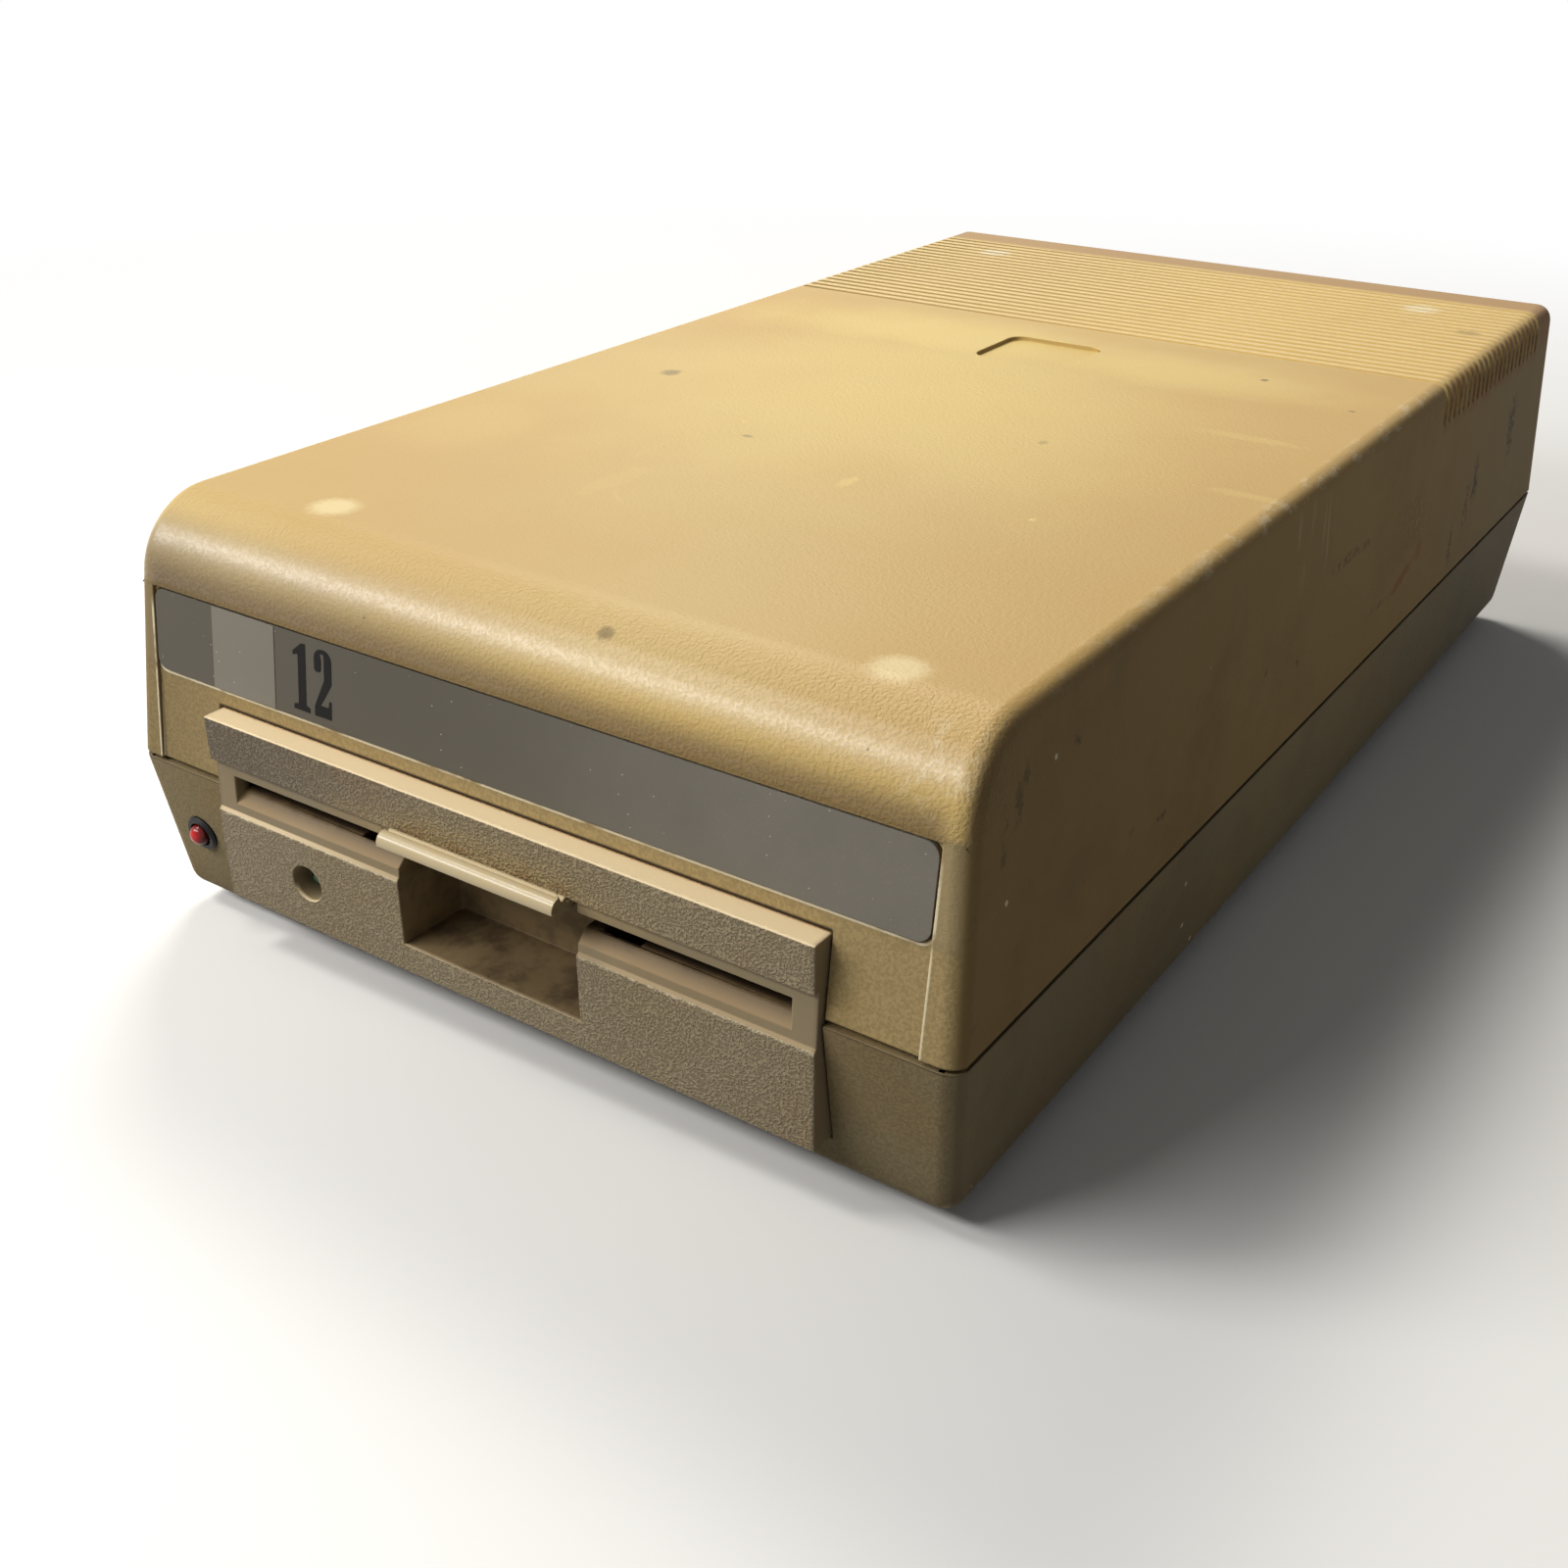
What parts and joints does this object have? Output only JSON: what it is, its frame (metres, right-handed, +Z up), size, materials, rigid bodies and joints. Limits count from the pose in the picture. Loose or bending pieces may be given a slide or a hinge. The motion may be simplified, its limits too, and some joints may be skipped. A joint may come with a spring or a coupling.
{
  "type": "floppy disk drive",
  "caption": "Desktop floppy disk drive in a two-shell plastic case with a slot, finger pocket, press-down gate bar, status lights and a ribbed rear top.",
  "frame": {"origin": "middle of the footprint, on the plane that the feet stand on", "axes": "+X to the right seen from the front, +Y from the fascia to the back, +Z up"},
  "size_m": [0.2, 0.3782, 0.097],
  "materials": {
    "tan_plastic": "fine leather grain, yellowed with age",
    "olive_plastic": "fine leather grain, duller than the upper shell",
    "fascia_plastic": "coarse pebble grain",
    "cream_plastic": "smooth and glossy",
    "plate_metal": "satin, fine specks",
    "black_plastic": "satin",
    "black_rubber": "dull",
    "red_lens": "clear red dome",
    "green_lens": "clear green dome",
    "cast_alloy": "as cast",
    "black_alloy": "black anodised",
    "sheet_steel": "zinc plated",
    "steel": "ground",
    "dark_steel": "dark, satin",
    "brass": "machined",
    "board_laminate": "green board lacquer",
    "felt": "pressed felt",
    "coil": "wound wire under amber tape",
    "capacitor_sleeve": "blue shrink sleeve",
    "lead_jacket": "grey jacket"
  },
  "bodies": {
    "drive": {"top_cover": "tan_plastic", "bottom_cover": "olive_plastic", "nameplate": "plate_metal", "drive_fascia": "fascia_plastic", "light_holder": "black_plastic", "activity_light": "red_lens", "power_light": "green_lens", "drive_chassis": "cast_alloy", "disk_guide_left": "black_plastic", "disk_guide_right": "black_plastic", "spindle_bearing_upper": "steel", "spindle_bearing_lower": "steel", "drive_motor": "dark_steel", "drive_belt": "black_rubber", "guide_rod_left": "steel", "guide_rod_right": "steel", "stepper_motor": "dark_steel", "clamp_rod": "steel", "gate_shaft": "steel", "gate_spring": "steel", "write_protect_sensor": "black_plastic", "index_sensor": "black_plastic", "board_tray": "sheet_steel", "main_board": "board_laminate", "processor_chip": "black_plastic", "memory_chip": "black_plastic", "capacitor_large": "capacitor_sleeve", "capacitor_small": "capacitor_sleeve", "heat_sink": "black_alloy", "transformer_core": "dark_steel", "transformer_coil": "coil", "rear_panel": "black_plastic", "mains_inlet": "black_plastic", "fuse_holder": "black_plastic", "serial_socket_left": "black_plastic", "serial_socket_right": "black_plastic", "power_switch": "black_plastic", "transformer_lead": "lead_jacket", "activity_lead": "lead_jacket", "case_screw_1": "steel", "foot_1": "black_rubber", "case_screw_2": "steel", "foot_2": "black_rubber", "case_screw_3": "steel", "foot_3": "black_rubber", "case_screw_4": "steel", "foot_4": "black_rubber"},
    "gate": {"gate_lever": "cream_plastic"},
    "clamp": {"clamp_arm": "sheet_steel"},
    "hub": {"hub_clamp": "black_plastic"},
    "carriage": {"head_carriage": "black_plastic", "read_write_head": "steel", "head_band": "steel"},
    "pad": {"pressure_pad_arm": "black_plastic", "pressure_pad": "felt"},
    "capstan": {"stepper_capstan": "brass"},
    "turntable": {"spindle": "steel", "flywheel_pulley": "cast_alloy"},
    "motor_rotor": {"motor_pulley": "brass"},
    "rocker": {"power_rocker": "black_plastic"}
  },
  "joints": [
    {"name": "gate_press", "type": "hinge", "parent": "drive", "child": "gate", "pos_m": [0, -0.1379, 0.0576], "axis": [1, 0, 0], "range_deg": [0, 12.95], "stiffness_Nm_per_rad": 0.05, "springref_deg": -28.65},
    {"name": "clamp_lower", "type": "hinge", "parent": "drive", "child": "clamp", "pos_m": [0, 0.0021, 0.05], "axis": [1, 0, 0], "range_deg": [0, 2.33]},
    {"name": "hub_spin", "type": "hinge", "parent": "clamp", "child": "hub", "pos_m": [0, -0.10631, 0.0494], "axis": [0, 0.0406, 0.9992], "continuous": true},
    {"name": "head_travel", "type": "slide", "parent": "drive", "child": "carriage", "axis": [0, -1, 0], "range_m": [0, 0.0207]},
    {"name": "pad_lower", "type": "hinge", "parent": "carriage", "child": "pad", "pos_m": [0, -0.013, 0.0446], "axis": [1, 0, 0], "range_deg": [0, 3.99]},
    {"name": "capstan_turn", "type": "hinge", "parent": "drive", "child": "capstan", "pos_m": [-0.03972, -0.0254, 0.03], "axis": [0, 0, -1], "range_deg": [0, 141]},
    {"name": "spindle_spin", "type": "hinge", "parent": "drive", "child": "turntable", "pos_m": [0, -0.1062, 0.02], "axis": [0, 0, 1], "continuous": true},
    {"name": "motor_spin", "type": "hinge", "parent": "drive", "child": "motor_rotor", "pos_m": [0.0536, 0.0121, 0.02], "axis": [0, 0, 1], "continuous": true},
    {"name": "rocker_tip", "type": "hinge", "parent": "drive", "child": "rocker", "pos_m": [0.06, 0.1726, 0.036], "axis": [1, 0, 0], "range_deg": [0, 18]}
  ],
  "couplings": [
    {"joint": "clamp_lower", "follows": "gate_press", "ratio": 0.1797},
    {"joint": "pad_lower", "follows": "gate_press", "ratio": 0.3074},
    {"joint": "capstan_turn", "follows": "head_travel", "rad_per_m": 118.76},
    {"joint": "motor_spin", "follows": "spindle_spin", "ratio": 4.9355}
  ]
}
